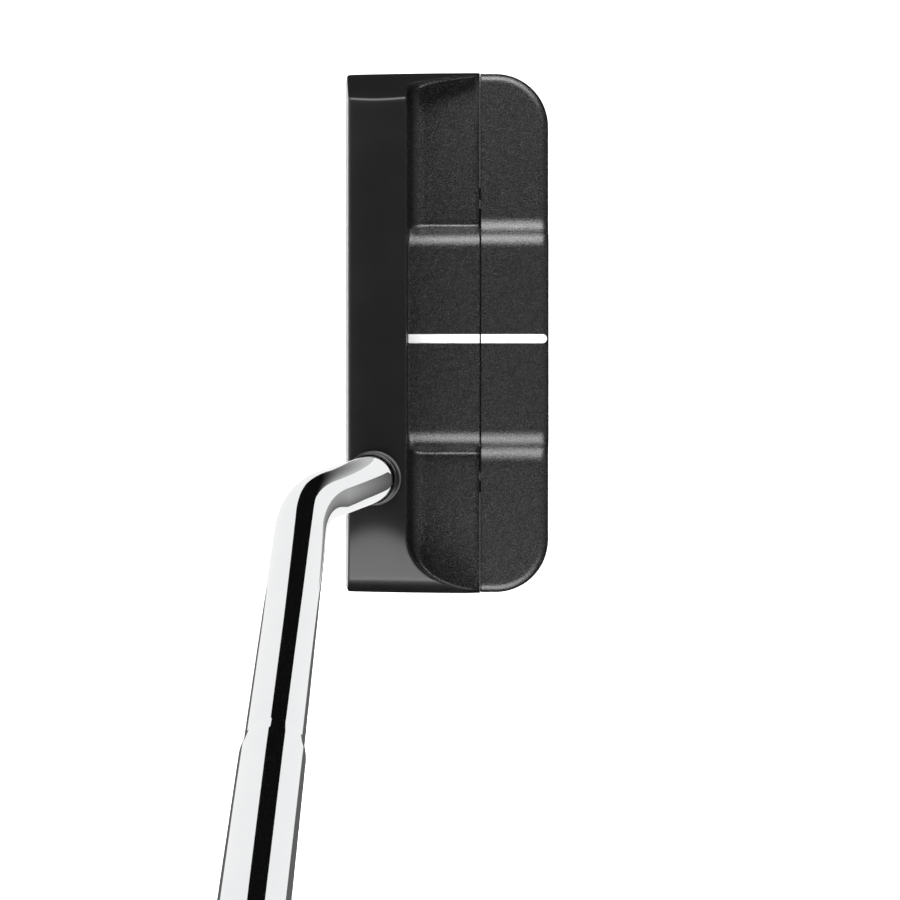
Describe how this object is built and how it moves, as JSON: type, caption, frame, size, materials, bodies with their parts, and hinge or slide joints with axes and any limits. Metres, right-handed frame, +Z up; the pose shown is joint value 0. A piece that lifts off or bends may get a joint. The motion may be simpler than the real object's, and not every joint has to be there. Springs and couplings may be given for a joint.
{
  "type": "mallet putter",
  "caption": "Right-handed wide-blade mallet putter: black split head with a white sight line, bent and stepped chrome shaft, pistol grip and screw-in sole weights.",
  "frame": {"origin": "on the flat of the sole, straight under the sight line and at about half the head's depth", "axes": "+Z up from the ground, -Y the way the face looks along the target line, -X towards the toe, +X towards the heel and the player"},
  "size_m": [0.3672, 0.0622, 0.8183],
  "materials": {
    "black_paint": "satin black over steel, bead-blasted in the recess",
    "black_anodised": "black, bead-blasted",
    "white_paint": "paint fill",
    "chrome": "polished plate",
    "steel": "machined",
    "black_plastic": "polished",
    "black_rubber": "moulded",
    "cured_epoxy": "cured adhesive",
    "adhesive_tape": "paper tape",
    "cork": "pressed cork"
  },
  "bodies": {
    "putter": {"head_body": "black_paint", "rear_flange": "black_anodised", "damping_membrane": "black_rubber", "sole_screw_1": "steel", "sole_screw_2": "steel", "sole_screw_3": "steel", "sole_screw_4": "steel", "toe_dowel_pin": "steel", "heel_dowel_pin": "steel", "sight_line_front": "white_paint", "sight_line_rear": "white_paint", "hosel_ring": "black_plastic", "hosel_bond": "cured_epoxy", "shaft": "chrome", "shaft_tip_plug": "cork", "grip_tape": "adhesive_tape", "grip": "black_rubber", "grip_cap": "black_plastic"},
    "toe_ring": {"toe_weight_ring": "black_rubber"},
    "toe_weight": {"toe_weight": "steel"},
    "heel_ring": {"heel_weight_ring": "black_rubber"},
    "heel_weight": {"heel_weight": "steel"}
  },
  "joints": [
    {"name": "toe_weight_travel", "type": "slide", "parent": "putter", "child": "toe_ring", "axis": [0, 0, -1], "range_m": [0, 0.005]},
    {"name": "toe_weight_turn", "type": "hinge", "parent": "toe_ring", "child": "toe_weight", "pos_m": [-0.0418, -0.004, 0], "axis": [0, 0, -1], "range_deg": [0, 1800]},
    {"name": "heel_weight_travel", "type": "slide", "parent": "putter", "child": "heel_ring", "axis": [0, 0, -1], "range_m": [0, 0.005]},
    {"name": "heel_weight_turn", "type": "hinge", "parent": "heel_ring", "child": "heel_weight", "pos_m": [0.0392, -0.004, 0], "axis": [0, 0, -1], "range_deg": [0, 1800]}
  ],
  "couplings": [
    {"joint": "toe_weight_travel", "follows": "toe_weight_turn", "m_per_rad": 0.00015915},
    {"joint": "heel_weight_travel", "follows": "heel_weight_turn", "m_per_rad": 0.00015915}
  ]
}
